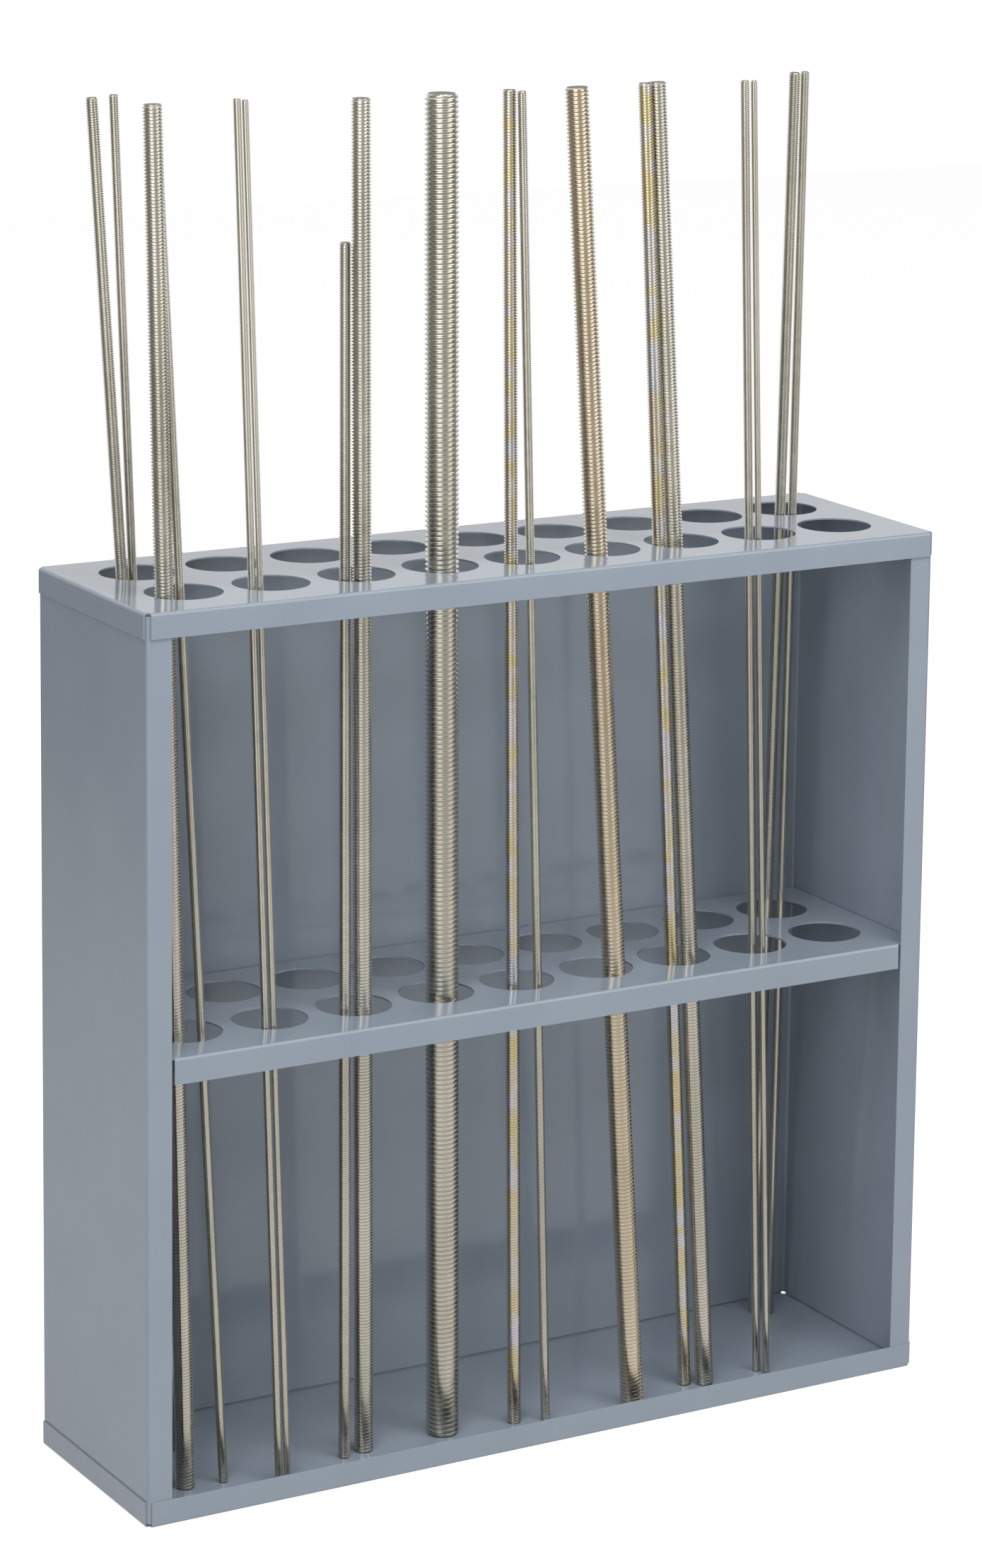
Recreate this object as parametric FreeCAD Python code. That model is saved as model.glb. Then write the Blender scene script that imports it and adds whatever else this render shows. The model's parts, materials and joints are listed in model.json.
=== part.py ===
import FreeCAD, Part
import math
import os

# A floor rack for threaded rod. Two punched decks, one above the other, keep loose
# lengths of rod upright in an open-fronted body of folded sheet steel.
# Sizes are in millimetres. X runs to the right seen from the front, Y runs to the
# back and Z runs up. The origin is the middle of the rack's underside.

# The rack over its folded edges
rack_width = 596.9
rack_depth = 166.4
rack_height = 602.4

# The sheet and its folds. Radii are on the inside of a fold
sheet = 1.2
tray_fold_radius = 0.8
body_fold_radius = 1.6
tray_flange = 16.9
shelf_flange = 17.5
stile_width = 17.4
corner_relief = 3.7

# The shelf inside the body
shelf_height = 311.6
apron_gap = 2.0
edge_gap = 0.3

# Holes in the top and in the shelf, their insets measured from the rack's faces
hole_diameter = 50.8
columns = 9
left_inset = 51.2
right_inset = 48.9
front_inset = 52.1
back_inset = 46.2

# Rod diameters over the thread, named by their trade sizes
bar_7_8 = 22.225
bar_5_8 = 15.875
bar_1_2 = 12.7
bar_3_8 = 9.525
bar_5_16 = 7.938
bar_1_4 = 6.35
bar_number_12 = 5.486
bar_number_10 = 4.826

# Rod lengths, ends and the air around each rod. The thickest rod has the deep chamfer
rod_length = 914.4
cut_rod_length = 821.0
end_chamfer = 0.8
deep_end_chamfer = 2.2
rim_gap = 0.35
neighbour_gap = 0.45
seat_gap = 0.3

# Rods that lean in their holes. Directions are in degrees from the front towards the
# right. Each rod touches the rim of its top hole in the first direction, and in the
# shelf's hole it stands in the second direction, at a share of the way to the rim
leaning_rods = [
    ("rod_back1_left", "back", 1, bar_5_16, -55, 8, 0.56),
    ("rod_front1_left", "front", 1, bar_1_2, -67, -58, 0.58),
    ("rod_front2_left", "front", 2, bar_number_12, -60, -34, 1.0),
    ("rod_front3_right", "front", 3, bar_1_2, -17, 3, 0.62),
    ("rod_front4", "front", 4, bar_7_8, -24, 1, 0.58),
    ("rod_front5_left", "front", 5, bar_3_8, -51, -41, 0.75),
    ("rod_front6", "front", 6, bar_5_8, -45, 14, 1.0),
    ("rod_front7_left", "front", 7, bar_3_8, -80, -45, 0.34),
    ("rod_front8_left", "front", 8, bar_1_4, -50, -24, 0.58),
    ("rod_back9_left", "back", 9, bar_5_16, -34, -116, 0.17),
]

# Rods that share a hole with one of those. Each passes its neighbour in a direction
# at a height, and spreads from it by a slope, in millimetres per millimetre of height
paired_rods = [
    ("rod_back1_right", "rod_back1_left", bar_1_4, rod_length, 165, 220, -0.022),
    ("rod_front1_right", "rod_front1_left", bar_1_4, rod_length, 149, 960, 0.025),
    ("rod_front2_right", "rod_front2_left", bar_number_10, rod_length, 88, 900, 0.001),
    ("rod_front3_left", "rod_front3_right", bar_5_16, cut_rod_length, -128, 690, -0.02),
    ("rod_front5_right", "rod_front5_left", bar_1_4, rod_length, 6, 1130, -0.018),
    ("rod_front7_right", "rod_front7_left", bar_1_2, rod_length, 101, 820, 0.01),
    ("rod_front8_right", "rod_front8_left", bar_number_10, rod_length, 70, 1070, 0.005),
    ("rod_back9_right", "rod_back9_left", bar_1_4, rod_length, 94, 1100, 0.008),
]

# How far a cutting tool runs past what it cuts, and how near counts as on an edge
overrun = 5.0
touch = 0.001
right_angle = 90

# The faces that the pieces share
half_width = rack_width / 2
half_depth = rack_depth / 2
body_half_width = half_width - sheet
body_half_depth = half_depth - sheet
inner_half_width = body_half_width - sheet
inner_half_depth = body_half_depth - sheet
stile_edge = body_half_width - stile_width
body_low = sheet + tray_fold_radius + edge_gap
body_high = rack_height - body_low


def point(x, y, z):
    return FreeCAD.Vector(x, y, z)


def block(low, high):
    """A box between its lowest and highest corners."""
    size = high - low
    return Part.makeBox(size.x, size.y, size.z, low)


def lies_on(place, bounds, side):
    """Whether a place lies on one upright side of a solid's bounds."""
    gaps = {
        "left": place.x - bounds.XMin,
        "right": bounds.XMax - place.x,
        "front": place.y - bounds.YMin,
        "back": bounds.YMax - place.y,
    }
    return gaps[side] < touch


def round_top(solid, sides, radius):
    """Round a box's top edges along the named sides."""
    bounds = solid.BoundBox
    edges = []
    for edge in solid.Edges:
        middle = edge.CenterOfMass
        on_top = bounds.ZMax - middle.z < touch
        if on_top and any(lies_on(middle, bounds, side) for side in sides):
            edges.append(edge)
    return solid.makeFillet(radius, edges)


def folded_sheet(low, high, sides):
    """A flat sheet whose named sides are folded down, filling the box low to high."""
    outside = round_top(block(low, high), sides, sheet + tray_fold_radius)
    inset = {side: sheet if side in sides else -overrun for side in ("left", "right", "front", "back")}
    hollow_low = low + point(inset["left"], inset["front"], -overrun)
    hollow_high = high - point(inset["right"], inset["back"], sheet)
    hollow = round_top(block(hollow_low, hollow_high), sides, tray_fold_radius)
    return outside.cut(hollow)


def relieve_corners(solid):
    """Cut the small square out of each corner that lets two folds meet."""
    bounds = solid.BoundBox
    reach = point(corner_relief, corner_relief, 0)
    for x in (bounds.XMin, bounds.XMax):
        for y in (bounds.YMin, bounds.YMax):
            low = point(x, y, bounds.ZMin - overrun) - reach
            high = point(x, y, bounds.ZMax + overrun) + reach
            solid = solid.cut(block(low, high))
    return solid


def hole_centre(row, column):
    """The middle of a hole in the front or back row, its column counted from the left."""
    pitch = (rack_width - left_inset - right_inset) / (columns - 1)
    x = -half_width + left_inset + pitch * (column - 1)
    rows = {"front": -half_depth + front_inset, "back": half_depth - back_inset}
    return point(x, rows[row], 0)


def punch_holes(solid):
    """Cut both rows of holes through a deck."""
    bounds = solid.BoundBox
    depth = bounds.ZLength + 2 * overrun
    for row in ("front", "back"):
        for column in range(1, columns + 1):
            base = hole_centre(row, column) + point(0, 0, bounds.ZMin - overrun)
            solid = solid.cut(Part.makeCylinder(hole_diameter / 2, depth, base))
    return solid


def rack_tray():
    """The pressing used at the top and, turned over, at the bottom, with its top at zero."""
    low = point(-half_width, -half_depth, -tray_flange)
    high = point(half_width, half_depth, 0)
    return relieve_corners(folded_sheet(low, high, ("left", "right", "front", "back")))


def top_tray():
    """The top deck, its flanges lapping down over the body."""
    tray = rack_tray()
    tray.translate(point(0, 0, rack_height))
    return punch_holes(tray)


def bottom_pan():
    """The rack's floor, its flanges lapping up over the body."""
    pan = rack_tray()
    pan.rotate(point(0, 0, 0), point(1, 0, 0), 180)
    return pan


def body_shell():
    """Back, sides and front stiles, folded from one sheet and open between the stiles."""
    low = point(-body_half_width, -body_half_depth, body_low)
    high = point(body_half_width, body_half_depth, body_high)
    inset = point(sheet, sheet, -overrun)
    outside = block(low, high)
    inside = block(low + inset, high - inset)
    outside = round_uprights(outside, sheet + body_fold_radius)
    inside = round_uprights(inside, body_fold_radius)
    mouth_low = point(-stile_edge, -half_depth, body_low - overrun)
    mouth_high = point(stile_edge, 0, body_high + overrun)
    return outside.cut(inside).cut(block(mouth_low, mouth_high))


def round_uprights(solid, radius):
    """Round a box's four upright edges."""
    edges = [edge for edge in solid.Edges if edge.BoundBox.ZLength > touch]
    return solid.makeFillet(radius, edges)


def middle_shelf():
    """The lower deck, folded down on four sides, its front apron flush between the stiles."""
    base = shelf_height - shelf_flange
    deck_front = -inner_half_depth + edge_gap
    deck_low = point(-inner_half_width, deck_front, base)
    deck_high = point(inner_half_width, inner_half_depth, shelf_height)
    deck = relieve_corners(folded_sheet(deck_low, deck_high, ("left", "right", "back")))
    apron_half_width = stile_edge - apron_gap
    apron_low = point(-apron_half_width, -body_half_depth, base)
    apron_high = point(apron_half_width, deck_front + corner_relief, shelf_height)
    apron = folded_sheet(apron_low, apron_high, ("front",))
    return punch_holes(deck.fuse(apron).removeSplitter())


def step(direction, distance):
    """A step across the rack, its direction in degrees from the front towards the right."""
    angle = math.radians(direction)
    return point(distance * math.sin(angle), -distance * math.cos(angle), 0)


def leaning_line(hole, diameter, top_direction, shelf_direction, shelf_share):
    """Where a rod's middle crosses the shelf and the top."""
    reach = hole_diameter / 2 - diameter / 2 - rim_gap
    at_shelf = hole + step(shelf_direction, reach * shelf_share) + point(0, 0, shelf_height)
    at_top = hole + step(top_direction, reach) + point(0, 0, rack_height)
    return at_shelf, at_top


def paired_line(line, distance, direction, pass_height, spread):
    """A line that passes another at a distance, and fans out from it above and below."""
    moved = []
    for place in line:
        sideways = (place.z - pass_height) * spread
        moved.append(place + step(direction, distance) + step(direction + right_angle, sideways))
    return moved


def rod_foot(line, end_radius):
    """The middle of a rod's lower end, standing on the floor, and the rod's direction."""
    direction = line[1] - line[0]
    direction.normalize()
    lean = math.acos(direction.z)
    height = sheet + seat_gap + end_radius * math.sin(lean)
    foot = line[0] + direction * ((height - line[0].z) / direction.z)
    return foot, direction


def rod(line, diameter, length):
    """A length of rod along its line, its ends chamfered."""
    chamfer = deep_end_chamfer if diameter == bar_7_8 else end_chamfer
    foot, direction = rod_foot(line, diameter / 2 - chamfer)
    bar = Part.makeCylinder(diameter / 2, length, foot, direction)
    rims = [edge for edge in bar.Edges if edge.Closed]
    return bar.makeChamfer(chamfer, rims)


def all_rods():
    """Every rod by its node's name."""
    lines = {}
    diameters = {}
    rods = {}
    for name, row, column, diameter, top, shelf, share in leaning_rods:
        lines[name] = leaning_line(hole_centre(row, column), diameter, top, shelf, share)
        diameters[name] = diameter
        rods[name] = rod(lines[name], diameter, rod_length)
    for name, beside, diameter, length, direction, height, spread in paired_rods:
        distance = diameters[beside] / 2 + diameter / 2 + neighbour_gap
        line = paired_line(lines[beside], distance, direction, height, spread)
        rods[name] = rod(line, diameter, length)
    return rods


def all_nodes():
    """Every piece of the rack by its node's name."""
    nodes = {
        "top_tray": top_tray(),
        "body_shell": body_shell(),
        "middle_shelf": middle_shelf(),
        "bottom_pan": bottom_pan(),
    }
    nodes.update(all_rods())
    return nodes


os.makedirs("parts", exist_ok=True)
for node, shape in all_nodes().items():
    shape.exportStep(f"parts/{node}.step")
    print(node, len(shape.Solids), round(shape.Volume, 1), shape.isValid())
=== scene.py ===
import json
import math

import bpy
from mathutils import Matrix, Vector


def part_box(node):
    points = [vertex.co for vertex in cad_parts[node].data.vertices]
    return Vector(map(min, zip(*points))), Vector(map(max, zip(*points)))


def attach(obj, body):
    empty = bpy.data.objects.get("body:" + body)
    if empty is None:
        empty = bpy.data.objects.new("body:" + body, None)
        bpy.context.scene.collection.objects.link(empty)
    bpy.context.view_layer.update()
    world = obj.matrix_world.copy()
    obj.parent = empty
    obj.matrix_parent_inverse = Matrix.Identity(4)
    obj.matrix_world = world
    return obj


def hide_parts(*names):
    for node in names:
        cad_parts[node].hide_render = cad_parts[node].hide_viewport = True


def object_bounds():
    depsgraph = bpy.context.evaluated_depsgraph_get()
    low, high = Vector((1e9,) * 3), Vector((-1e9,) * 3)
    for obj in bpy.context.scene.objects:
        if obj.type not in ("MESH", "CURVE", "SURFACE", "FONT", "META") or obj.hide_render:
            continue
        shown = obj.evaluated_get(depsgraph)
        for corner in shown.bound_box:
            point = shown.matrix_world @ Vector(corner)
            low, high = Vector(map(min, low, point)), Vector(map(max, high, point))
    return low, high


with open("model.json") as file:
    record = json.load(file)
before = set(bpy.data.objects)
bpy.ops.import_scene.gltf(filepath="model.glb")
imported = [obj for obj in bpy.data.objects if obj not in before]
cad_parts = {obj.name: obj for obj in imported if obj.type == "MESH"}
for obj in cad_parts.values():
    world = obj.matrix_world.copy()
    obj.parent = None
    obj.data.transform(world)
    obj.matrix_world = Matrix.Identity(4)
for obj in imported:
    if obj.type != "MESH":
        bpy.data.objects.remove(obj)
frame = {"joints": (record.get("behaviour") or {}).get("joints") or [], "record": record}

# %% [markdown]
# A floor rack for threaded rod. Two decks with round holes keep loose rods upright
# in a body of folded sheet steel. The frame that was just loaded holds plain solids
# at the real size. This lesson dresses them: the rods get real helical threads, the
# sheet gets soft folds and edges, and everything gets its paint or its plating.

cad_low, cad_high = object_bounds()
mm = 0.001
print("plain solids from", tuple(round(v, 4) for v in cad_low), "to", tuple(round(v, 4) for v in cad_high))

# %% [markdown]
# The camera comes first, because it decides how fine the detail has to be. A long
# lens stood to the left of the rack and 0.6 m above its top, and looked a little
# down. The picture seems to be cropped, so the frame is slid off the lens's axis with
# the camera's shift, which keeps the uprights as straight as they are.

# %% Place the camera
image_width = 1389
image_height = 2219
lens_in_pixels = 6608.2
axis_in_pixels = (877.0, 600.0)
camera_place = Vector((-1.5184, -2.6659, 1.2183))
camera_turn = math.radians(-31.17)
camera_drop = math.radians(9.8)
camera_roll = math.radians(0.92)

camera_data = bpy.data.cameras.new("camera")
camera = bpy.data.objects.new("camera", camera_data)
bpy.context.scene.collection.objects.link(camera)
bpy.context.scene.camera = camera
camera_data.lens = camera_data.sensor_width * lens_in_pixels / image_height
camera_data.shift_x = (image_width / 2 - axis_in_pixels[0]) / image_height
camera_data.shift_y = (axis_in_pixels[1] - image_height / 2) / image_height
level = Matrix.Rotation(camera_turn, 4, "Z") @ Matrix.Rotation(math.pi / 2 - camera_drop, 4, "X")
camera.matrix_world = Matrix.Translation(camera_place) @ level @ Matrix.Rotation(camera_roll, 4, "Z")
shift = (round(camera_data.shift_x, 3), round(camera_data.shift_y, 3))
print("lens", round(camera_data.lens, 1), "mm, shift", shift)

# %% [markdown]
# Colours are written as they look on a screen, as sRGB hex values. The shaders work
# with linear light, so one function turns the one into the other.

# %% Colours and nodes


def linear(hex_colour):
    """An sRGB hex colour as the linear RGBA that shaders use."""
    channels = [int(hex_colour[i:i + 2], 16) / 255 for i in (1, 3, 5)]
    straight = [c / 12.92 if c <= 0.04045 else ((c + 0.055) / 1.055) ** 2.4 for c in channels]
    return (*straight, 1.0)


def add_node(tree, kind, settings=None, links=None):
    """Add a shader node, set its sockets and properties, and link its inputs."""
    node = tree.nodes.new(kind)
    for name, value in (settings or {}).items():
        if name in node.inputs:
            node.inputs[name].default_value = value
        else:
            setattr(node, name, value)
    for name, source in (links or {}).items():
        tree.links.new(source, node.inputs[name])
    return node


def new_material(name):
    """An empty node material and its tree."""
    material = bpy.data.materials.new(name)
    material.use_nodes = True
    material.node_tree.nodes.clear()
    return material, material.node_tree


def finish_material(material, shader):
    """Send a shader to the material's surface."""
    add_node(material.node_tree, "ShaderNodeOutputMaterial", links={"Surface": shader.outputs[0]})
    return material


print("middle grey #808080 in linear light", tuple(round(c, 3) for c in linear("#808080")))

# %% [markdown]
# The sheet is powder-coated steel: a smooth gloss polyester, about 0.08 mm thick. It
# is not metal to the eye but a coloured plastic skin, so it isn't metallic and keeps
# an IOR of 1.5. Seen at a low angle, as the top is here, it mirrors what stands on it.
# Powder flows out while it bakes and leaves a faint orange peel, waves of about 3 mm,
# and the thin sheet under it is never quite flat, which bends the mirrored lines.

# %% Powder coat
peel_size = 3 * mm
peel_height = 0.004 * mm
sheet_wave_size = 45 * mm
sheet_wave_height = 0.05 * mm
paint_colours = ("#828c98", "#8a949f")
paint_roughness = (0.09, 0.13)
noise_middle = {"From Min": 0.3, "From Max": 0.7}


def powder_coat():
    """Smooth gloss paint on a sheet that is never quite flat."""
    material, tree = new_material("powder_coat_blue_grey")
    place = add_node(tree, "ShaderNodeTexCoord").outputs["Object"]
    wave_grain = {"Scale": 1 / sheet_wave_size, "Detail": 1.0}
    wave = add_node(tree, "ShaderNodeTexNoise", wave_grain, {"Vector": place})
    peel_grain = {"Scale": 1 / peel_size, "Detail": 2.0}
    peel = add_node(tree, "ShaderNodeTexNoise", peel_grain, {"Vector": place})
    mottle = add_node(tree, "ShaderNodeValToRGB", links={"Fac": wave.outputs["Fac"]})
    for stop, colour in zip(mottle.color_ramp.elements, paint_colours):
        stop.color = linear(colour)
    dull = add_node(
        tree,
        "ShaderNodeMapRange",
        {**noise_middle, "To Min": paint_roughness[0], "To Max": paint_roughness[1]},
        {"Value": wave.outputs["Fac"]},
    )
    buckle = add_node(
        tree,
        "ShaderNodeBump",
        {"Strength": 1.0, "Distance": sheet_wave_height},
        {"Height": wave.outputs["Fac"]},
    )
    skin = add_node(
        tree,
        "ShaderNodeBump",
        {"Strength": 1.0, "Distance": peel_height},
        {"Height": peel.outputs["Fac"], "Normal": buckle.outputs["Normal"]},
    )
    shader = add_node(
        tree,
        "ShaderNodeBsdfPrincipled",
        {"IOR": 1.5},
        {
            "Base Color": mottle.outputs["Color"],
            "Roughness": dull.outputs["Result"],
            "Normal": skin.outputs["Normal"],
        },
    )
    return finish_material(material, shader)


rack_paint = powder_coat()
print("made", rack_paint.name)

# %% [markdown]
# The rods are steel plated with zinc and then passivated, which gives a thin film
# that shows pale straw, yellow with patches of lavender, or bronze. Plated zinc is a
# metal, so the colour goes into its reflection. The film is uneven along the rod
# because rods are plated in bundles, so a noise shifts the tint: a long one on the
# straw and bronze rods, and short patches on the yellow ones. Light bounces from
# flank to flank in the grooves, which deepens a tint, so the colours are pale ones.
# The sawn ends are bare, dull steel.

# %% Zinc plate
handling_mark_size = 9 * mm
handling_polish = 0.05
handling_scuff = 0.08
tint_stops = (0.35, 0.65)


def zinc_plate(name, first, second, patch_length, roughness):
    """A passivated zinc whose tint drifts between two colours along the rod."""
    material, tree = new_material(name)
    place = add_node(tree, "ShaderNodeTexCoord").outputs["Object"]
    film_grain = {"Scale": 1 / patch_length, "Detail": 2.0}
    film = add_node(tree, "ShaderNodeTexNoise", film_grain, {"Vector": place})
    mark_grain = {"Scale": 1 / handling_mark_size, "Detail": 4.0}
    marks = add_node(tree, "ShaderNodeTexNoise", mark_grain, {"Vector": place})
    tint = add_node(tree, "ShaderNodeValToRGB", links={"Fac": film.outputs["Fac"]})
    for stop, position, colour in zip(tint.color_ramp.elements, tint_stops, (first, second)):
        stop.position = position
        stop.color = linear(colour)
    dull = add_node(
        tree,
        "ShaderNodeMapRange",
        {**noise_middle, "To Min": roughness - handling_polish, "To Max": roughness + handling_scuff},
        {"Value": marks.outputs["Fac"]},
    )
    shader = add_node(
        tree,
        "ShaderNodeBsdfPrincipled",
        {"Metallic": 1.0},
        {"Base Color": tint.outputs["Color"], "Roughness": dull.outputs["Result"]},
    )
    return finish_material(material, shader)


plating = {
    "zinc_plate": zinc_plate("zinc_plate_straw", "#c7c4ba", "#d2cfc6", 120 * mm, 0.19),
    "yellow_zinc": zinc_plate("zinc_plate_yellow", "#d6ccac", "#d3d2d6", 16 * mm, 0.18),
    "bronze_zinc": zinc_plate("zinc_plate_bronze", "#cec4b2", "#d9d0c0", 120 * mm, 0.2),
}
sawn_end = zinc_plate("zinc_plate_sawn_end", "#6f6d66", "#7d7b74", 4 * mm, 0.45)
print("made", ", ".join(material.name for material in plating.values()))

# %% [markdown]
# The tools of the bench: small functions for what one does by hand again and again.
# Every operator acts on what is selected, so each piece is made with nothing else
# selected, and edges are picked in code by where they lie.

# %% Selecting


def alone(piece):
    """Make one object the only selected and the active one."""
    bpy.ops.object.select_all(action="DESELECT")
    piece.select_set(True)
    bpy.context.view_layer.objects.active = piece


def pick_edges(piece, wanted):
    """In object mode, select only the edges whose two ends both pass a test."""
    mesh = piece.data
    for part in (mesh.vertices, mesh.edges, mesh.polygons):
        part.foreach_set("select", [False] * len(part))
    for edge in mesh.edges:
        ends = [mesh.vertices[i].co for i in edge.vertices]
        if wanted(ends[0], ends[1]):
            edge.select = True
            for i in edge.vertices:
                mesh.vertices[i].select = True


def edit(piece, kind="EDGE"):
    """Open a piece for editing, picking by points, edges or faces."""
    alone(piece)
    kinds = ("VERT", "EDGE", "FACE")
    bpy.context.tool_settings.mesh_select_mode = [kind == other for other in kinds]
    bpy.ops.object.mode_set(mode="EDIT")


def done():
    """Go back to object mode."""
    bpy.ops.object.mode_set(mode="OBJECT")


print("edges can be picked by where they lie")

# %% Modifiers and blocks


def apply_modifier(piece, kind, **settings):
    """Add a modifier with its settings and apply it."""
    alone(piece)
    modifier = piece.modifiers.new(kind.lower(), kind)
    for name, value in settings.items():
        setattr(modifier, name, value)
    bpy.ops.object.modifier_apply(modifier=modifier.name)


def new_block(name, low, high):
    """A cube primitive between two corners, with its place in its mesh."""
    bpy.ops.object.select_all(action="DESELECT")
    bpy.ops.mesh.primitive_cube_add(size=1.0, location=(low + high) / 2, scale=high - low)
    piece = bpy.context.active_object
    piece.name = name
    bpy.ops.object.transform_apply(location=True, rotation=True, scale=True)
    return piece


print("modifiers and blocks ready")

# %% [markdown]
# Threaded rod is rolled: one V groove runs round it from end to end. It is easiest
# to draw the outline of a single turn, from root to crest and back, and let the
# Screw modifier wind it up the rod. Rolling leaves a narrow flat at the crest and at
# the root, each drawn as 0.15 of the pitch. With the depth used here the flanks meet
# at 67 degrees, a little wider than the 60 of a real thread. The pitches follow the
# rods as they look, 12 to 20 per cent over the standard ones.

# %% Rod sizes
inch = 25.4 * mm
full_length = 36 * inch
cut_length = 821 * mm

rod_sizes = {
    "7/8": {"diameter": 7 / 8 * inch, "pitch": 3.26 * mm, "sides": 36, "chamfer": 2.2 * mm},
    "5/8": {"diameter": 5 / 8 * inch, "pitch": 2.60 * mm, "sides": 30, "chamfer": 0.8 * mm},
    "1/2": {"diameter": 1 / 2 * inch, "pitch": 2.18 * mm, "sides": 24, "chamfer": 0.8 * mm},
    "3/8": {"diameter": 3 / 8 * inch, "pitch": 1.86 * mm, "sides": 20, "chamfer": 0.8 * mm},
    "5/16": {"diameter": 5 / 16 * inch, "pitch": 1.59 * mm, "sides": 18, "chamfer": 0.8 * mm},
    "1/4": {"diameter": 1 / 4 * inch, "pitch": 1.42 * mm, "sides": 14, "chamfer": 0.8 * mm},
    "No. 12": {"diameter": 0.216 * inch, "pitch": 1.27 * mm, "sides": 14, "chamfer": 0.8 * mm},
    "No. 10": {"diameter": 0.19 * inch, "pitch": 1.27 * mm, "sides": 12, "chamfer": 0.8 * mm},
}
for size, facts in rod_sizes.items():
    print(size, "in rod:", round(full_length / facts["pitch"]), "turns")

# %% One turn of the thread
crest_share = 0.15
root_share = 0.15
depth_share = 0.53
flank_share = (1 - crest_share - root_share) / 2


def turn_outline(facts):
    """One turn's outline, drawn by extruding a single point up the rod's side."""
    pitch = facts["pitch"]
    depth = depth_share * pitch
    flank = flank_share * pitch
    bpy.ops.object.select_all(action="DESELECT")
    bpy.ops.mesh.primitive_plane_add(size=pitch, location=(0, 0, 0))
    outline = bpy.context.active_object
    edit(outline, "VERT")
    bpy.ops.mesh.select_all(action="SELECT")
    bpy.ops.mesh.merge(type="CENTER")
    bpy.ops.transform.translate(value=(facts["diameter"] / 2 - depth, 0, 0))
    steps = [
        (0, 0, root_share * pitch),
        (depth, 0, flank),
        (0, 0, crest_share * pitch),
        (-depth, 0, flank),
    ]
    for step in steps:
        bpy.ops.mesh.extrude_region_move(TRANSFORM_OT_translate={"value": step})
    done()
    return outline


flank_angle = 2 * math.degrees(math.atan(flank_share / depth_share))
print("the flanks meet at", round(flank_angle), "degrees")

# %% Square and chamfer the ends
bar_sides = 64
touch = 0.01 * mm
clear = 0.02 * mm


def saw(rod, height, keep_above):
    """Saw the rod square at a height and close the cut."""
    edit(rod)
    bpy.ops.mesh.select_all(action="SELECT")
    bpy.ops.mesh.bisect(
        plane_co=(0, 0, height),
        plane_no=(0, 0, 1),
        use_fill=True,
        clear_inner=keep_above,
        clear_outer=not keep_above,
    )
    done()


def chamfered_bar(facts, length):
    """A plain bar a little thicker than the thread, its ends chamfered."""
    bpy.ops.object.select_all(action="DESELECT")
    radius = facts["diameter"] / 2 + clear
    bpy.ops.mesh.primitive_cylinder_add(vertices=bar_sides, radius=radius, depth=length)
    bar = bpy.context.active_object
    pick_edges(bar, lambda a, b: abs(a.z - b.z) < touch)
    edit(bar)
    bpy.ops.mesh.bevel(offset=facts["chamfer"] + clear, segments=1, affect="EDGES")
    done()
    return bar


print("the bar that trims a rod is", round(clear / mm, 2), "mm larger all round")

# %% Wind the rods
spare_turns = 4
smooth_below = math.radians(35)
end_face = 0.99


def wind_rod(facts, length):
    """A threaded rod, upright and centred on the origin."""
    rod = turn_outline(facts)
    turns = math.ceil(length / facts["pitch"]) + spare_turns
    apply_modifier(
        rod,
        "SCREW",
        axis="Z",
        angle=2 * math.pi,
        screw_offset=facts["pitch"],
        iterations=turns,
        steps=facts["sides"],
        render_steps=facts["sides"],
    )
    edit(rod)
    bpy.ops.mesh.select_all(action="SELECT")
    bpy.ops.mesh.remove_doubles(threshold=touch)
    bpy.ops.transform.translate(value=(0, 0, -turns / 2 * facts["pitch"]))
    done()
    saw(rod, -length / 2 - facts["pitch"] / 2, True)
    saw(rod, length / 2 + facts["pitch"] / 2, False)
    edit(rod)
    bpy.ops.mesh.select_all(action="SELECT")
    bpy.ops.mesh.normals_make_consistent(inside=False)
    done()
    bar = chamfered_bar(facts, length)
    apply_modifier(rod, "BOOLEAN", operation="INTERSECT", object=bar, solver="MANIFOLD")
    bpy.data.objects.remove(bar)
    rod.data.materials.clear()
    ends = [int(abs(face.normal.z) > end_face) for face in rod.data.polygons]
    rod.data.polygons.foreach_set("material_index", ends)
    alone(rod)
    bpy.ops.object.shade_smooth_by_angle(angle=smooth_below)
    return rod


patterns = {}
for size, facts in rod_sizes.items():
    patterns[size] = wind_rod(facts, full_length)
    patterns[size].name = "pattern_" + size
    print(size, "in rod:", len(patterns[size].data.polygons), "faces")
cut_pattern = wind_rod(rod_sizes["5/16"], cut_length)

# %% [markdown]
# Each rod is a copy of its size's pattern with its own mesh. The frame knows where
# it stands: the middle of its plain solid's box is the middle of the rod, and its
# slide joint runs along it. Each copy is also turned about itself, so that no two
# threads line up.

# %% Stand the rods in the rack
rods_by_node = {
    "rod_back1_left": "5/16",
    "rod_back1_right": "1/4",
    "rod_front1_left": "1/2",
    "rod_front1_right": "1/4",
    "rod_front2_left": "No. 12",
    "rod_front2_right": "No. 10",
    "rod_front3_left": "5/16",
    "rod_front3_right": "1/2",
    "rod_front4": "7/8",
    "rod_front5_left": "3/8",
    "rod_front5_right": "1/4",
    "rod_front6": "5/8",
    "rod_front7_left": "3/8",
    "rod_front7_right": "1/2",
    "rod_front8_left": "1/4",
    "rod_front8_right": "No. 10",
    "rod_back9_left": "5/16",
    "rod_back9_right": "1/4",
}
bodies = frame["record"]["behaviour"]["bodies"]
body_of_node = {node: body for body, nodes in bodies.items() for node in nodes}
slot_of_node = {part["node"]: part["material_slot"] for part in frame["record"]["subparts"]}
direction_of_body = {joint["child"]: Vector(joint["axis"]) for joint in frame["joints"]}
turn_between_copies = math.radians(66.6)


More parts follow.
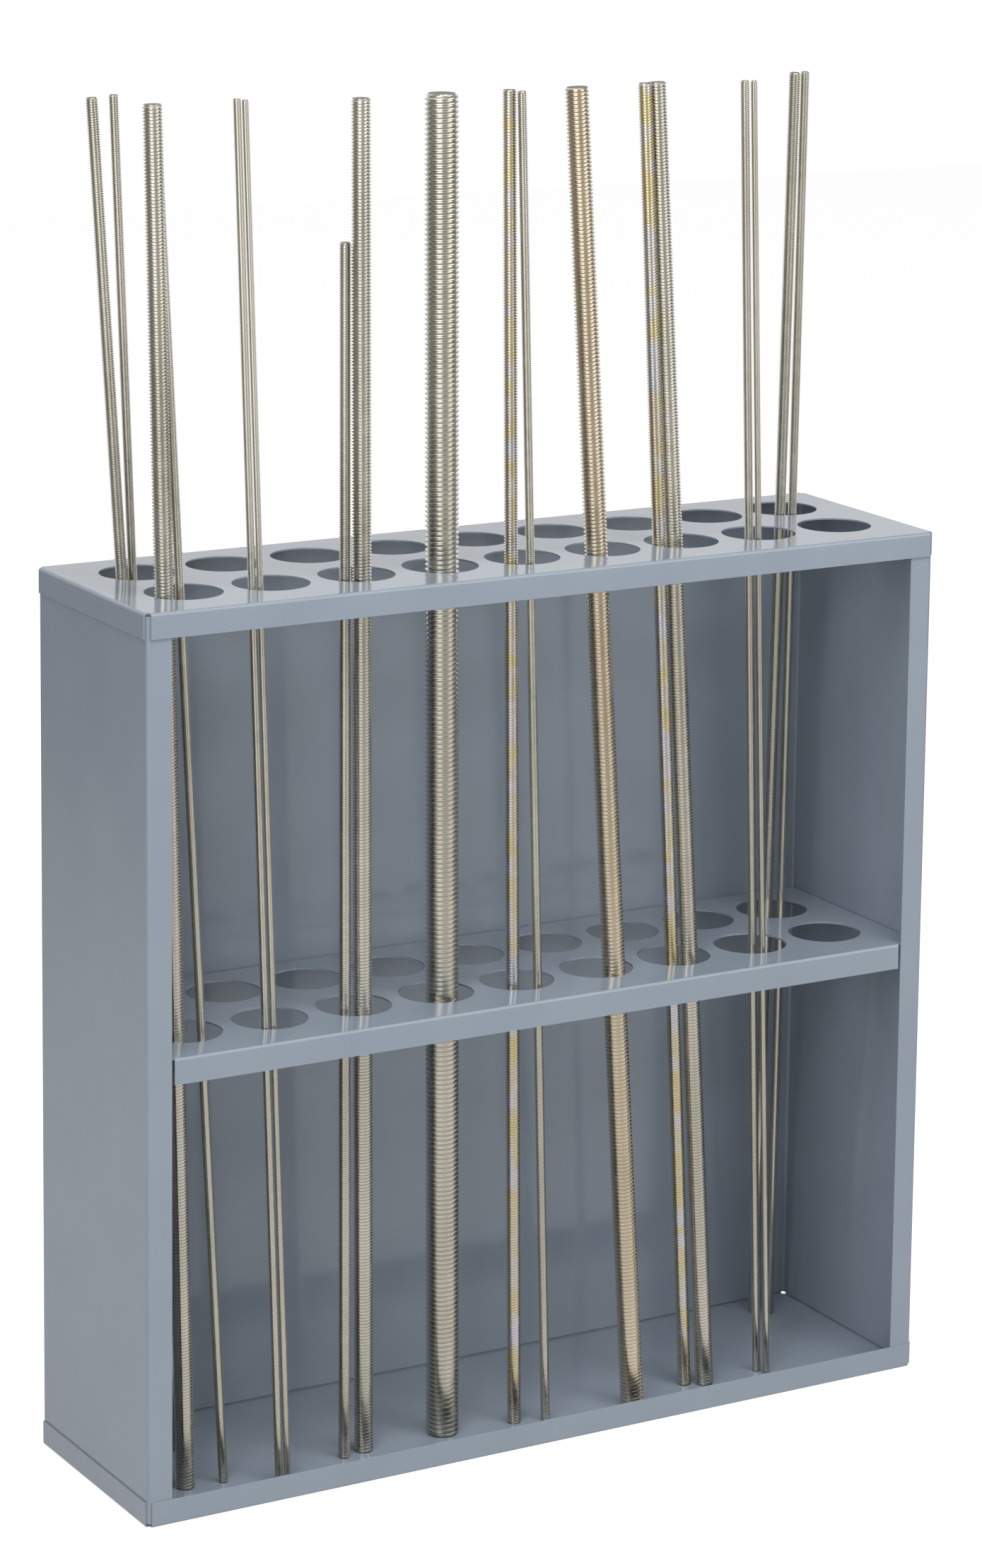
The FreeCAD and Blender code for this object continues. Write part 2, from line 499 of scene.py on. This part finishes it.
def stand_rod(node, pattern, order):
    """Copy a pattern to where a rod stands, lean it and let it ride on its body."""
    rod = pattern.copy()
    rod.data = pattern.data.copy()
    rod.name = node.replace("rod_", "threaded_rod_")
    bpy.context.scene.collection.objects.link(rod)
    low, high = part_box(node)
    lean = direction_of_body[body_of_node[node]].to_track_quat("Z", "Y").to_matrix().to_4x4()
    spin = Matrix.Rotation(order * turn_between_copies, 4, "Z")
    rod.data.transform(Matrix.Translation((low + high) / 2) @ lean @ spin)
    rod.data.materials.append(plating[slot_of_node[node]])
    rod.data.materials.append(sawn_end)
    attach(rod, body_of_node[node])
    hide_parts(node)


for order, (node, size) in enumerate(rods_by_node.items()):
    pattern = cut_pattern if node == "rod_front3_left" else patterns[size]
    stand_rod(node, pattern, order)
for pattern in [*patterns.values(), cut_pattern]:
    bpy.data.objects.remove(pattern)
print("stood", len(rods_by_node), "rods")

# %% [markdown]
# The trays and the shelf start as flat blanks, as in the shop. Their edges are
# extruded down to make flanges, and each fold is rounded with a bevel, which draws
# an arc across the fold. Solidify then gives the sheet its thickness on the inside.
# Holes and corner squares are punched with one Boolean, and a fine bevel softens
# every sheared edge, because paint pulls back there into a small round.

# %% Sheet sizes
sheet = 1.2 * mm
fold_radius = 0.8 * mm
upright_fold_radius = 1.6 * mm
stile_width = 17.4 * mm
corner_relief = 3.7 * mm
apron_gap = 2.0 * mm
hole_diameter = 50.8 * mm
columns = 9
left_inset = 51.2 * mm
right_inset = 48.9 * mm
front_inset = 52.1 * mm
back_inset = 46.2 * mm
paint_round = 0.25 * mm
fold_steps = 5
hole_sides = 72
sharp_above = math.radians(50)
overrun = 5 * mm

rack_low, rack_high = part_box("top_tray")
hole_pitch = (rack_high.x - rack_low.x - left_inset - right_inset) / (columns - 1)
hole_rows = (rack_low.y + front_inset, rack_high.y - back_inset)
print("hole pitch", round(hole_pitch / mm, 1), "mm, rows at", [round(y / mm, 1) for y in hole_rows])

# %% Folding


def new_blank(name, low, high):
    """A flat sheet, one face, with its place in its mesh."""
    bpy.ops.object.select_all(action="DESELECT")
    middle = (low + high) / 2
    bpy.ops.mesh.primitive_plane_add(size=1.0, location=(middle.x, middle.y, high.z))
    blank = bpy.context.active_object
    blank.name = name
    blank.scale = (high.x - low.x, high.y - low.y, 1)
    bpy.ops.object.transform_apply(location=True, rotation=True, scale=True)
    return blank


def fold_down(blank, height, wanted):
    """Extrude the wanted edges of a flat blank down and round the folds."""
    top = max(vertex.co.z for vertex in blank.data.vertices)
    pick_edges(blank, wanted)
    edit(blank)
    bpy.ops.mesh.extrude_edges_move(TRANSFORM_OT_translate={"value": (0, 0, -height)})
    done()
    pick_edges(blank, lambda a, b: min(a.z, b.z) > top - touch and wanted(a, b))
    edit(blank)
    bpy.ops.mesh.bevel(offset=sheet + fold_radius, segments=fold_steps, affect="EDGES")
    done()


def thicken(blank):
    """Turn all faces outward and give the sheet its thickness inside them."""
    edit(blank)
    bpy.ops.mesh.select_all(action="SELECT")
    bpy.ops.mesh.normals_make_consistent(inside=False)
    done()
    apply_modifier(blank, "SOLIDIFY", thickness=sheet, offset=-1.0, use_even_offset=True)


print("a fold's outside radius is", round((sheet + fold_radius) / mm, 1), "mm")

# %% Punching


def punch(piece, cutters):
    """Cut all the cutters out of a piece at once."""
    tool = cutters[0]
    alone(tool)
    for cutter in cutters[1:]:
        cutter.select_set(True)
        bpy.ops.object.join()
    apply_modifier(piece, "BOOLEAN", operation="DIFFERENCE", object=tool, solver="EXACT", use_self=True)
    bpy.data.objects.remove(tool)


def hole_cutters(low, high):
    """A punch for each hole of both rows."""
    cutters = []
    for y in hole_rows:
        for column in range(columns):
            x = rack_low.x + left_inset + hole_pitch * column
            bpy.ops.object.select_all(action="DESELECT")
            bpy.ops.mesh.primitive_cylinder_add(
                vertices=hole_sides,
                radius=hole_diameter / 2,
                depth=high - low + 2 * overrun,
                location=(x, y, (low + high) / 2),
            )
            cutters.append(bpy.context.active_object)
            bpy.ops.object.transform_apply(location=True, rotation=True, scale=True)
    return cutters


def corner_cutters(low, high):
    """A square punch at each corner of a box."""
    reach = Vector((corner_relief, corner_relief, overrun))
    cutters = []
    for x in (low.x, high.x):
        for y in (low.y, high.y):
            corner_low = Vector((x, y, low.z)) - reach
            corner_high = Vector((x, y, high.z)) + reach
            cutters.append(new_block("corner_punch", corner_low, corner_high))
    return cutters


print(columns * len(hole_rows), "holes to punch in each deck")

# %% Finishing a sheet part


def soften(piece):
    """Round the sheared edges a little and shade the folds smooth."""
    apply_modifier(
        piece,
        "BEVEL",
        width=paint_round,
        segments=2,
        limit_method="ANGLE",
        angle_limit=sharp_above,
        use_clamp_overlap=True,
    )
    alone(piece)
    bpy.ops.object.shade_smooth_by_angle(angle=smooth_below)
    apply_modifier(piece, "WEIGHTED_NORMAL", keep_sharp=True)


def carry(piece, node):
    """Let a sheet part stand for its plain solid, painted."""
    piece.data.materials.clear()
    piece.data.materials.append(rack_paint)
    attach(piece, body_of_node[node])
    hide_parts(node)
    low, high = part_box(node)
    mine = [vertex.co for vertex in piece.data.vertices]
    spread = [round((max(v[i] for v in mine) - min(v[i] for v in mine)) / mm, 1) for i in range(3)]
    print(piece.name, "measures", spread, "mm, its solid", [round(s / mm, 1) for s in high - low])


print("sheared edges get a round of", round(paint_round / mm, 2), "mm")

# %% [markdown]
# The top tray and the bottom pan are the same pressing. On the pan the flanges turn
# up, so it is made as a tray and then turned over about X. Only the top is punched.

# %% Top tray and bottom pan


def on_rim(low, high):
    """A test for edges that lie on the outline of a box."""
    def test(a, b):
        along_x = min(abs(a.x - low.x), abs(a.x - high.x)) < touch and abs(a.x - b.x) < touch
        along_y = min(abs(a.y - low.y), abs(a.y - high.y)) < touch and abs(a.y - b.y) < touch
        return along_x or along_y
    return test


def make_tray(name, low, high):
    """A blank folded down on all four sides, with its thickness."""
    tray = new_blank(name, low, high)
    fold_down(tray, high.z - low.z, on_rim(low, high))
    thicken(tray)
    return tray


tray_low, tray_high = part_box("top_tray")
top_deck = make_tray("top_deck", tray_low, tray_high)
punch(top_deck, corner_cutters(tray_low, tray_high) + hole_cutters(tray_low.z, tray_high.z))
soften(top_deck)
carry(top_deck, "top_tray")

pan_low, pan_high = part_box("bottom_pan")
floor_pan = make_tray("floor_pan", pan_low, pan_high)
punch(floor_pan, corner_cutters(pan_low, pan_high))
edit(floor_pan)
bpy.ops.mesh.select_all(action="SELECT")
bpy.ops.transform.rotate(value=math.pi, orient_axis="X", center_override=(pan_low + pan_high) / 2)
done()
soften(floor_pan)
carry(floor_pan, "bottom_pan")

# %% [markdown]
# The body is one long strip folded four times round the rack. It starts as a block
# without its ends, its four upright edges are bevelled into folds, it gets its
# thickness, and the mouth between the two stiles is cut out of its front.

# %% Body
shell_low, shell_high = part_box("body_shell")
body = new_block("folded_body", shell_low, shell_high)
body.data.polygons.foreach_set("select", [abs(face.normal.z) > end_face for face in body.data.polygons])
edit(body, "FACE")
bpy.ops.mesh.delete(type="ONLY_FACE")
done()
pick_edges(body, lambda a, b: abs(a.z - b.z) > touch)
edit(body)
bpy.ops.mesh.bevel(offset=sheet + upright_fold_radius, segments=fold_steps + 1, affect="EDGES")
done()
thicken(body)
stile_edge = shell_high.x - stile_width
mouth_low = Vector((-stile_edge, shell_low.y - overrun, shell_low.z - overrun))
mouth_high = Vector((stile_edge, 0, shell_high.z + overrun))
punch(body, [new_block("mouth_punch", mouth_low, mouth_high)])
soften(body)
carry(body, "body_shell")

# %% [markdown]
# The shelf is a deck folded down at its sides and back. In front a narrower apron
# stands forward between the stiles and is folded down flush with them. Both come
# from one blank: the deck's front edge is cut at the apron's ends with two bisects,
# and the piece between them is extruded forward before the folds are made.

# %% Shelf
shelf_low, shelf_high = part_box("middle_shelf")
edge_gap = 0.3 * mm
deck_low = Vector((shelf_low.x, shelf_low.y + sheet + edge_gap, shelf_low.z))
apron_edge = stile_edge - apron_gap
shelf = new_blank("punched_shelf", deck_low, shelf_high)
for x in (-apron_edge, apron_edge):
    edit(shelf)
    bpy.ops.mesh.select_all(action="SELECT")
    bpy.ops.mesh.bisect(plane_co=(x, 0, 0), plane_no=(1, 0, 0))
    done()


def on_deck_front(a, b):
    """Whether an edge lies on the deck's front, between the apron's ends."""
    in_front = max(a.y, b.y) < deck_low.y + touch
    return in_front and max(abs(a.x), abs(b.x)) < apron_edge + touch


pick_edges(shelf, on_deck_front)
edit(shelf)
bpy.ops.mesh.extrude_edges_move(TRANSFORM_OT_translate={"value": (0, shelf_low.y - deck_low.y, 0)})
done()


def on_shelf_folds(a, b):
    """Whether an edge lies where the shelf folds down."""
    sides = min(abs(a.x - shelf_low.x), abs(a.x - shelf_high.x)) < touch and abs(a.x - b.x) < touch
    back = abs(a.y - shelf_high.y) < touch and abs(a.y - b.y) < touch
    front = abs(a.y - shelf_low.y) < touch and abs(a.y - b.y) < touch
    return sides or back or front


fold_down(shelf, shelf_high.z - shelf_low.z, on_shelf_folds)
thicken(shelf)
punch(shelf, corner_cutters(deck_low, shelf_high) + hole_cutters(shelf_low.z, shelf_high.z))
soften(shelf)
carry(shelf, "middle_shelf")

# %% [markdown]
# The studio has a wide pale floor, an even sky and three large soft lamps. The white
# background is only for rays from the camera and from mirrors, while the light that
# floor and sky give stays plain. What the bright rods mirror is drawn on its own, for
# mirror rays alone: white paper near the rack and, farther off, two softboxes, the
# front of the room and the paper behind, each at its bearing. Their bearings, spreads
# and levels were set until the stripes on the thickest rods came near those in the
# picture, so they describe that picture's studio and no other.

# %% Floor
floor_size = 12.0
floor_drop = 0.5 * mm
bpy.ops.object.select_all(action="DESELECT")
bpy.ops.mesh.primitive_plane_add(size=floor_size, location=(0, 0, -floor_drop))
floor = bpy.context.active_object
floor.name = "floor"
print("floor", floor_size, "m across")

# %% Rays that see the white background
white = (1, 1, 1, 1)
direct_rays = ("Is Camera Ray", "Is Glossy Ray", "Is Transmission Ray")


def seen_directly(tree):
    """One for rays from the camera, a mirror or glass, and nothing for other light."""
    path = add_node(tree, "ShaderNodeLightPath").outputs
    seen = path[direct_rays[0]]
    for ray in direct_rays[1:]:
        either = {0: seen, 1: path[ray]}
        seen = add_node(tree, "ShaderNodeMath", {"operation": "MAXIMUM"}, either).outputs[0]
    return seen


print("the background is white for:", ", ".join(direct_rays))

# %% What the metal mirrors
# For each light its bearing in degrees from the front towards the right, its spread
# in degrees to each side, and its level above that of the dark walls
studio_lights = {
    "left softbox": (-47, 26, 0.79),
    "right softbox": (41, 28, 0.55),
    "front of the room": (-3, 80, 0.11),
    "white paper behind": (175, 60, 0.16),
}
wall_level = 0.1


def studio_light(tree):
    """The studio's light on the bearing at which the room or the floor is seen."""
    place = add_node(tree, "ShaderNodeTexCoord").outputs["Object"]
    level_place = add_node(tree, "ShaderNodeVectorMath", {"operation": "MULTIPLY"}, {0: place})
    level_place.inputs[1].default_value = (1, 1, 0)
    unit = {"operation": "NORMALIZE"}
    bearing = add_node(tree, "ShaderNodeVectorMath", unit, {0: level_place.outputs[0]})
    # Every light starts from its share of the walls' level, so that together they add it
    wall_share = wall_level / len(studio_lights)
    total = None
    for turn, spread, level in studio_lights.values():
        towards = (math.sin(math.radians(turn)), -math.cos(math.radians(turn)), 0)
        aim = add_node(tree, "ShaderNodeVectorMath", {"operation": "DOT_PRODUCT"}, {0: bearing.outputs[0]})
        aim.inputs[1].default_value = towards
        reach = {
            "From Min": math.cos(math.radians(spread)),
            "From Max": 1.0,
            "To Min": wall_share,
            "To Max": wall_share + level,
        }
        light = add_node(tree, "ShaderNodeMapRange", reach, {"Value": aim.outputs["Value"]})
        if total is None:
            total = light.outputs["Result"]
            continue
        both = {0: total, 1: light.outputs["Result"]}
        total = add_node(tree, "ShaderNodeMath", {"operation": "ADD"}, both).outputs[0]
    return total


print("studio lights:", ", ".join(studio_lights))

# %% Floor paper
near_paper_level = 0.9
near_paper_ends = 0.6
far_paper_starts = 2.7
floor_gain = 1.35
paper_colour = "#d0d0d0"
shadow_colour = "#b4b4b4"
veil_level = 0.86


def mirrored_paper(tree):
    """The floor in a mirror: even paper near the rack, the studio's lights farther off."""
    place = add_node(tree, "ShaderNodeTexCoord").outputs["Object"]
    distance = add_node(tree, "ShaderNodeVectorMath", {"operation": "LENGTH"}, {"Vector": place})
    away = add_node(
        tree,
        "ShaderNodeMapRange",
        {"interpolation_type": "SMOOTHSTEP", "From Min": near_paper_ends, "From Max": far_paper_starts},
        {"Value": distance.outputs["Value"]},
    )
    near = add_node(tree, "ShaderNodeEmission", {"Color": white, "Strength": near_paper_level})
    # Farther off, the floor glows with painted reflections of the softboxes, seen only in mirrors.
    far = add_node(tree, "ShaderNodeEmission", {"Strength": floor_gain}, {"Color": studio_light(tree)})
    links = {"Fac": away.outputs["Result"], 1: near.outputs[0], 2: far.outputs[0]}
    return add_node(tree, "ShaderNodeMixShader", links=links)


def photographed_paper(tree):
    """The floor in the picture: a white veil over matt paper, which keeps the shadow."""
    lit = add_node(tree, "ShaderNodeBsdfDiffuse", {"Color": linear(shadow_colour)})
    veil = add_node(tree, "ShaderNodeEmission", {"Color": white, "Strength": veil_level})
    return add_node(tree, "ShaderNodeAddShader", links={0: lit.outputs[0], 1: veil.outputs[0]})


def floor_paper():
    """Matt paper for plain light, with its own look for the camera and for mirrors."""
    material, tree = new_material("pale_floor")
    matt = add_node(tree, "ShaderNodeBsdfDiffuse", {"Color": linear(paper_colour)})
    camera_ray = add_node(tree, "ShaderNodeLightPath").outputs["Is Camera Ray"]
    either = {"Fac": camera_ray, 1: mirrored_paper(tree).outputs[0], 2: photographed_paper(tree).outputs[0]}
    direct = add_node(tree, "ShaderNodeMixShader", links=either)
    all_rays = {"Fac": seen_directly(tree), 1: matt.outputs[0], 2: direct.outputs[0]}
    return finish_material(material, add_node(tree, "ShaderNodeMixShader", links=all_rays))


floor.data.materials.append(floor_paper())
print("laid", floor.data.materials[0].name)

# %% Sky and lamps
sky_level = 0.24
background_level = 1.0
world = bpy.data.worlds.new("sky")
bpy.context.scene.world = world
world.use_nodes = True
world.node_tree.nodes.clear()
sky = world.node_tree
plain_sky = add_node(sky, "ShaderNodeBackground", {"Color": white, "Strength": sky_level})
white_sky = add_node(sky, "ShaderNodeBackground", {"Color": white, "Strength": background_level})
sky_mix = add_node(
    sky,
    "ShaderNodeMixShader",
    links={"Fac": seen_directly(sky), 1: plain_sky.outputs[0], 2: white_sky.outputs[0]},
)
add_node(sky, "ShaderNodeOutputWorld", links={"Surface": sky_mix.outputs[0]})


def soft_lamp(name, place, width, height, power):
    """A rectangular softbox, in metres and watts, that faces the middle of the part."""
    data = bpy.data.lights.new(name, "AREA")
    data.shape = "RECTANGLE"
    data.size = width
    data.size_y = height
    data.energy = power
    lamp = bpy.data.objects.new(name, data)
    bpy.context.scene.collection.objects.link(lamp)
    lamp.location = place
    lamp.rotation_mode = "QUATERNION"
    lamp.rotation_quaternion = (Vector(place) - (cad_low + cad_high) / 2).to_track_quat("Z", "Y")
    lamp.visible_glossy = False


soft_lamp("left_lamp", place=(-2.4, -1.98, 1.5), width=2.0, height=2.8, power=47)
soft_lamp("right_lamp", place=(1.85, -2.6, 1.5), width=2.2, height=2.8, power=39)
soft_lamp("ceiling_lamp", place=(-0.3, -1.3, 3.0), width=2.4, height=1.2, power=62)
print("sky level", sky_level)

# %% [markdown]
# Bright metal on a white ground needs something dark to mirror, or its round shape
# is lost. In the studio that is the room itself. Here it is a large shell that shows
# the same lights by bearing as the floor does, with an opening behind the rack where
# the white background shows. Only mirror rays see it, and the lamps are hidden from
# them in turn, so the light on the paint is set apart from what gloss and metal
# mirror. At its brightest the shell is nearly four times as bright as the background.

# %% Room
room_radius = 4.5
room_segments = 48
room_rings = 24
opening_distance = 3.2
room_gain = 3.9

bpy.ops.object.select_all(action="DESELECT")
bpy.ops.mesh.primitive_uv_sphere_add(radius=room_radius, segments=room_segments, ring_count=room_rings)
room = bpy.context.active_object
room.name = "room_of_painted_reflections"
backwards = Vector((-math.sin(camera_turn), math.cos(camera_turn), 0))
edit(room)
bpy.ops.mesh.select_all(action="SELECT")
bpy.ops.mesh.bisect(plane_co=backwards * opening_distance, plane_no=backwards, clear_outer=True)
done()
# The shell's glow is painted reflection: dark walls and two bright softboxes drawn onto it by bearing, for
# the metal and gloss to mirror.
material, tree = new_material("painted_reflection_glow")
glow = add_node(tree, "ShaderNodeEmission", {"Strength": room_gain}, {"Color": studio_light(tree)})
room.data.materials.append(finish_material(material, glow))
room.visible_camera = False
room.visible_diffuse = False
room.visible_shadow = False
print("room", 2 * room_radius, "m across, its opening", opening_distance, "m behind the rack")

# %% [markdown]
# The view transform is set to Standard, so that colours come out as they were
# written.

# %% Finish
bpy.context.scene.view_settings.view_transform = "Standard"
